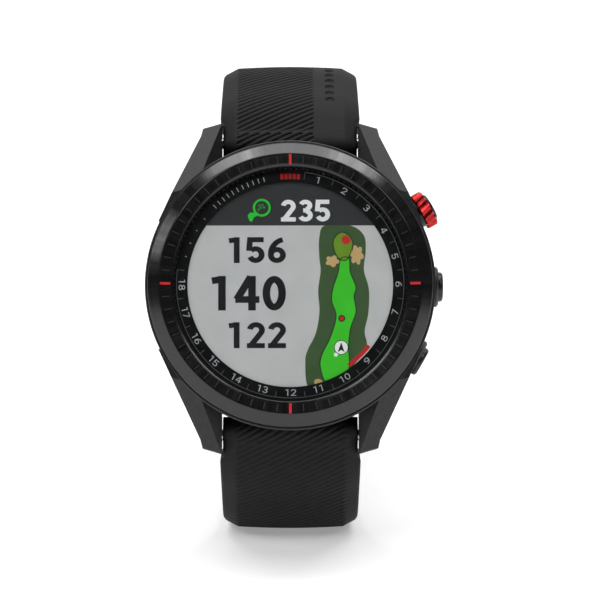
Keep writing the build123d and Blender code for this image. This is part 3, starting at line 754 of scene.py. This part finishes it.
def motif(s, x):
    """Row of round dimples in the plain band beside the grooves."""
    s_mid, x_mid = 8.0 + 2.3 * round((s - 8.0) / 2.3), 6.6
    if not 7.0 < s < 27.5:
        return 0.0
    reach = math.hypot(s - s_mid, x - x_mid)
    return 0.3 * (1 - ease(reach, 0.62, 0.82))


def section_outer(x, half):
    """Drop of the outer face from its crown: side bevel, round edge and a slight crown."""
    crown = 0.28 * (abs(x) / FLAT) ** 2 if abs(x) < FLAT else 0.28
    bevel = max(0.0, abs(x) - FLAT) * 0.53
    edge = max(0.0, abs(x) - (half - 0.25))
    return crown + bevel + 0.9 * edge


def crease(obj, degrees):
    """Keep edges sharper than that angle sharp under smooth shading."""
    split = obj.modifiers.new("crease", "EDGE_SPLIT")
    split.split_angle = math.radians(degrees)


def strap_part(name, steps, side, s0, s1, step_s, step_x, pocket, x_high, groove_end, body, node):
    """One stretch of a strap half as a closed mesh; side is 1 for the upper half, -1 lower."""
    rows = max(2, int(round((s1 - s0) / step_s)))
    cols = max(4, int(round(2 * FLAT / step_x)))
    outer_x = [-FLAT + 2 * FLAT * i / cols for i in range(cols + 1)]
    inner_k = [-1, -0.97, -0.66, -0.64, -0.4, 0, 0.4, 0.64, 0.66, 0.97, 1]
    points, faces = [], []
    for r in range(rows + 1):
        s = s0 + (s1 - s0) * r / rows
        y, z, h = path_at(steps, s)
        ny, nz = math.sin(math.radians(h)), math.cos(math.radians(h))
        half, thick = half_width(y, z), strap_thick(steps, s)
        rim = [FLAT + (half - FLAT) * k for k in (0.25, 0.5, 0.75, 0.9, 1.0)]
        xs = [-x for x in reversed(rim)] + outer_x + rim
        ring = []
        for x in xs:
            depth = section_outer(x, half)
            if abs(x) <= FLAT and groove_end:
                deep = GROOVE_DEEP if side > 0 else LOWER_DEEP
                depth += groove(s, x, side, x_high, groove_end, deep)
                if side > 0:
                    depth += motif(s, x)
            ring.append((x, depth))
        for k in reversed(inner_k):
            sunk = pocket and 2.3 < s < 12.6 and abs(k) <= 0.65
            lift = 1.8 - (5.6 - thick) if sunk else (0.25 if abs(k) == 1 else 0.0)
            ring.append((k * half * (0.985 if abs(k) == 1 else 1.0), thick - max(lift, 0)))
        points += [(x, side * (y - ny * d), z - nz * d) for x, d in ring]
    n = len(points) // (rows + 1)
    for r in range(rows):
        a, b = r * n, (r + 1) * n
        faces += [(a + i, a + (i + 1) % n, b + (i + 1) % n, b + i) for i in range(n)]
    outer_count = n - len(inner_k)
    for base in (0, rows * n):
        faces.append(tuple(base + i for i in range(outer_count, n)) + (base, base + outer_count - 1))
        faces.append(tuple(base + i for i in range(outer_count)))
    obj = mesh_piece(name, points, faces, SILICONE, body, "silicone", smooth=True, replaces=[node])
    crease(obj, 50)
    return obj


def drill(obj, cutters):
    """Cut the cutters' solids out of a strap stretch and drop them."""
    for cutter in cutters:
        cut = obj.modifiers.new("cut", "BOOLEAN")
        cut.operation = "DIFFERENCE"
        cut.object = cutter
        cut.solver = "EXACT"
    obj.modifiers.remove(obj.modifiers["crease"])
    bpy.context.view_layer.update()
    graph = bpy.context.evaluated_depsgraph_get()
    cut_mesh = bpy.data.meshes.new_from_object(obj.evaluated_get(graph))
    obj.modifiers.clear()
    obj.data = cut_mesh
    crease(obj, 40)
    for cutter in cutters:
        bpy.data.objects.remove(cutter)


def cutter_from(points, faces):
    mesh = bpy.data.meshes.new("cutter")
    mesh.from_pydata([world(*p) for p in points], [], faces)
    bm = bmesh.new()
    bm.from_mesh(mesh)
    bmesh.ops.recalc_face_normals(bm, faces=bm.faces)
    bm.to_mesh(mesh)
    bm.free()
    obj = bpy.data.objects.new("cutter", mesh)
    bpy.context.scene.collection.objects.link(obj)
    return obj


def seated(steps, side, s, outline):
    """Prism through the strap at length s from an (x, along) outline."""
    y, z, h = path_at(steps, s)
    ty, tz = math.cos(math.radians(h)), -math.sin(math.radians(h))
    ny, nz = math.sin(math.radians(h)), math.cos(math.radians(h))
    n, points = len(outline), []
    for d in (CUT_ABOVE, -CUT_BELOW):
        points += [(x, side * (y + ty * a + ny * d), z + tz * a + nz * d) for x, a in outline]
    faces = [tuple(range(n)), tuple(range(2 * n - 1, n - 1, -1))]
    faces += [(i, n + i, n + (i + 1) % n, (i + 1) % n) for i in range(n)]
    return points, faces


def bar_end(name, steps, s, radius, half, body, node, slot_half):
    """Round end of the upper half about the buckle bar, open in the middle for the tongue."""
    y, z, h = path_at(steps, s)
    y, z = y - math.sin(math.radians(h)) * radius, z - math.cos(math.radians(h)) * radius
    parts = []
    for x0, x1 in ((-half, -slot_half), (slot_half, half)):
        count = 40
        points = [(x, y + radius * math.cos(2 * math.pi * i / count),
                   z + radius * math.sin(2 * math.pi * i / count))
                  for x in (x0, x1) for i in range(count)]
        faces = [tuple(range(count)), tuple(range(2 * count - 1, count - 1, -1))]
        faces += [(i, count + i, count + (i + 1) % count, (i + 1) % count) for i in range(count)]
        parts.append((points, faces))
    obj = mesh_piece(name, *gather(parts), SILICONE, body, "silicone", smooth=True, replaces=[node])
    crease(obj, 50)


def lug_end(name, side, x_high, deep, body):
    """Round end of a strap half about its lug pin, the grooves running on over it."""
    turns = int(round(2 * math.pi * KNUCKLE_R / FINE))
    cols = int(round(2 * FLAT / FINE_X))
    half = LUG_HALF
    rim = [FLAT + (half - FLAT) * k for k in (0.25, 0.5, 0.75, 0.9, 1.0)]
    xs = [-x for x in reversed(rim)] + [-FLAT + 2 * FLAT * i / cols for i in range(cols + 1)] + rim
    points, faces = [], []
    for i in range(turns):
        back = 2 * math.pi * i / turns
        swell = END_SWELL * ease(back, 0, 1.0) * (1 - ease(back, 2.3, 3.3))
        facing = 1 - ease(back, 1.7, 2.5) if back < math.pi else ease(back, 4.8, 5.7)
        a = math.radians(START) - back
        for x in xs:
            drop = section_outer(x, half)
            if abs(x) <= FLAT and back < math.pi:
                drop += groove(-KNUCKLE_R * back, x, side, x_high, 90, deep)
            r = KNUCKLE_R + swell - 0.01 - drop * facing
            points.append((x, side * (PIN_Y + r * math.sin(a)), PIN_Z + r * math.cos(a)))
    n = len(xs)
    for i in range(turns):
        j = (i + 1) % turns
        faces += [(i * n + k, i * n + k + 1, j * n + k + 1, j * n + k) for k in range(n - 1)]
    faces.append(tuple(i * n for i in range(turns)))
    faces.append(tuple(i * n + n - 1 for i in range(turns)))
    obj = mesh_piece(name, points, faces, SILICONE, body, "silicone", smooth=True, replaces=[body])
    crease(obj, 50)


FINE, FINE_X, COARSE, COARSE_X = 0.13, 0.13, 0.7, 1.4
upper_long, lower_long = path_length(UPPER_STEPS), path_length(LOWER_STEPS)
UPPER_SPLIT, LOWER_SPLIT = 44.0, 34.0
LEAD_IN = 0.3              # overlap of a strap stretch with its round lug end

strap_part("upper_strap_front", UPPER_STEPS, 1, -LEAD_IN, UPPER_SPLIT, FINE, FINE_X, True, 3.7, 42.0,
           "upper_strap", "upper_strap")
upper_back = strap_part("upper_strap_back", UPPER_STEPS, 1, UPPER_SPLIT, upper_long, COARSE,
                        COARSE_X, False, 0, 0, "upper_strap", "upper_strap")
slot_outline = [(-1.4, -2.2), (1.4, -2.2), (1.4, 3.0), (-1.4, 3.0)]
drill(upper_back, [cutter_from(*seated(UPPER_STEPS, 1, upper_long, slot_outline))])
lug_end("upper_strap_lug_end", 1, 3.7, GROOVE_DEEP, "upper_strap")
bar_end("upper_strap_bar_end", UPPER_STEPS, upper_long, STRAP_T / 2 - 0.02, 9.9, "upper_strap",
        "upper_strap", 1.4)

strap_part("lower_strap_front", LOWER_STEPS, -1, -LEAD_IN, LOWER_SPLIT, FINE, FINE_X, True, 9.0, 32.0,
           "lower_strap", "lower_strap")
lower_back = strap_part("lower_strap_back", LOWER_STEPS, -1, LOWER_SPLIT, lower_long, COARSE,
                        COARSE_X, False, 0, 0, "lower_strap", "lower_strap")
hole_at = [lower_long - HOLE_BACK - HOLE_PITCH * i for i in range(HOLES)]
holes = gather([seated(LOWER_STEPS, -1, s, round_loop(0, 0, HOLE_R, 28)) for s in hole_at])
corner_r = 12.5
tip_arc = [(corner_r * math.sin(math.radians(a)), corner_r * math.cos(math.radians(a)) - 12.6)
           for a in range(-60, 61, 4)]
tip = seated(LOWER_STEPS, -1, lower_long, tip_arc + [(15, 3.0), (-15, 3.0)])
drill(lower_back, [cutter_from(*holes), cutter_from(*tip)])
lug_end("lower_strap_lug_end", -1, 9.0, LOWER_DEEP, "lower_strap")

# ---- finishes on the CAD nodes ------------------------------------------------------------
FINISH = {
    "case_shell": POLYMER, "lug_pins": STEEL, "bezel": CERAMIC, "bezel_markers": MARK_RED_PAINTED_GLOW,
    "bezel_adhesive": RING_BLACK, "lens": GLASS, "lens_gasket": RING_BLACK,
    "dial_ring": RING_BLACK, "touch_sensor": FILM, "display_panel": PAPER,
    "backlight": DIFFUSER, "display_holder": DARK_PLASTIC, "main_board": BOARD,
    "board_chips": CHIP, "shield_can": STEEL, "battery": CELL, "vibration_motor": STEEL,
    "antenna_ring": COPPER, "display_flex": FLEX, "button_flex": FLEX,
    "tact_switches": DARK_PLASTIC, "rear_cover": COVER, "charging_port": DARK_PLASTIC,
    "charging_contacts": GOLD, "rear_gasket": RING_BLACK, "rear_cover_screws": STEEL,
    "sensor_window": WINDOW, "sensor_board": BOARD, "sensor_leds": LED, "photodiodes": DIODE,
    "buckle_bar": STEEL, "buckle_frame": GUNMETAL, "buckle_tongue": GUNMETAL,
    "keeper": SILICONE, "upper_button_ring": RED_ALLOY, "upper_strap": SILICONE,
    "lower_strap": SILICONE}
for place in ("upper", "lower"):
    FINISH.update({f"{place}_clip": STEEL, f"{place}_latch": GUNMETAL,
                   f"{place}_latch_spring": STEEL})
for place in ("upper", "middle", "lower"):
    FINISH.update({f"{place}_button": GUNMETAL, f"{place}_button_seal": RING_BLACK,
                   f"{place}_button_clip": STEEL, f"{place}_button_spring": STEEL})
for name, material in FINISH.items():
    nodes[name].data.materials.clear()
    nodes[name].data.materials.append(material)

# ---- floor, light and camera --------------------------------------------------------------
floor_mesh = bpy.data.meshes.new("floor")
floor_mesh.from_pydata([(-2, -2, 0), (2, -2, 0), (2, 3, 0), (-2, 3, 0)], [], [(0, 1, 2, 3)])
floor = bpy.data.objects.new("floor", floor_mesh)
bpy.context.scene.collection.objects.link(floor)
floor_mesh.materials.append(surface("floor_white", (0.9, 0.9, 0.9), 0.8, grain=60, bump=0.0,
                                    mottle=0.01, glow=0.32))

sky = bpy.data.worlds.new("studio")
bpy.context.scene.world = sky
sky.use_nodes = True
sky_nodes, sky_links = sky.node_tree.nodes, sky.node_tree.links
spot = sky_nodes.new("ShaderNodeTexCoord")
axes = sky_nodes.new("ShaderNodeSeparateXYZ")
fade = sky_nodes.new("ShaderNodeValToRGB")
fade.color_ramp.elements[0].position = 0.62
fade.color_ramp.elements[0].color = (0.02, 0.02, 0.021, 1)
fade.color_ramp.elements[1].position = 0.86
fade.color_ramp.elements[1].color = (1, 1, 1, 1)
turn = sky_nodes.new("ShaderNodeMapRange")
turn.inputs["From Min"].default_value = -1
turn.inputs["From Max"].default_value = 1
sky_links.new(spot.outputs["Generated"], axes.inputs["Vector"])
sky_links.new(axes.outputs["Y"], turn.inputs["Value"])
sky_links.new(turn.outputs["Result"], fade.inputs["Fac"])
sky_links.new(fade.outputs["Color"], sky_nodes["Background"].inputs["Color"])
sky_nodes["Background"].inputs["Strength"].default_value = 1.0


LIGHTS_AIM = Vector((0, 0, 0.045))


def softbox(name, x, y, z, wide, tall, power):
    """Area light at that place, facing the watch."""
    light = bpy.data.lights.new(name, "AREA")
    light.shape = "RECTANGLE"
    light.size, light.size_y = wide, tall
    light.energy = power
    obj = bpy.data.objects.new(name, light)
    obj.location = (x, y, z)
    obj.rotation_euler = (LIGHTS_AIM - obj.location).to_track_quat("-Z", "Y").to_euler()
    bpy.context.scene.collection.objects.link(obj)


softbox("box_left", -0.36, 0.22, 0.82, 0.22, 0.30, 1.1)
softbox("box_right", 0.40, 0.24, 0.80, 0.20, 0.30, 1.3)
softbox("box_front_left", -0.55, -0.55, 0.95, 0.5, 0.4, 3.5)
softbox("box_side", -0.95, 0.05, 0.50, 0.12, 0.35, 0.6)
softbox("box_above", 0.0, 0.1, 1.3, 0.9, 0.9, 9.0)
softbox("box_front_right", 0.6, -0.55, 0.95, 0.4, 0.4, 2.5)

CAMERA_BELOW = 5.5         # degrees below the dial normal
CAMERA_FAR = 0.450
FRAME_WIDE = 0.0964        # width of the picture at the dial
FRAME_SHIFT = (1.56, -2.73)
SENSOR_WIDE = 36.0
tilt = math.radians(CAMERA_BELOW)
toward = DIAL_Z * math.cos(tilt) - DIAL_Y * math.sin(tilt)
dial_mid = world(0, 0, RIDGE_Z)
aim = dial_mid + (DIAL_X * FRAME_SHIFT[0] + DIAL_Y * FRAME_SHIFT[1]) * MM
cam_data = bpy.data.cameras.new("camera")
cam = bpy.data.objects.new("camera", cam_data)
bpy.context.scene.collection.objects.link(cam)
cam.location = dial_mid + toward * CAMERA_FAR
cam.rotation_euler = (aim - cam.location).to_track_quat("-Z", "Y").to_euler()
cam_data.sensor_width = SENSOR_WIDE
cam_data.lens = SENSOR_WIDE * CAMERA_FAR / FRAME_WIDE
cam_data.clip_start = 0.01
bpy.context.scene.camera = cam
bpy.context.scene.view_settings.view_transform = "Standard"
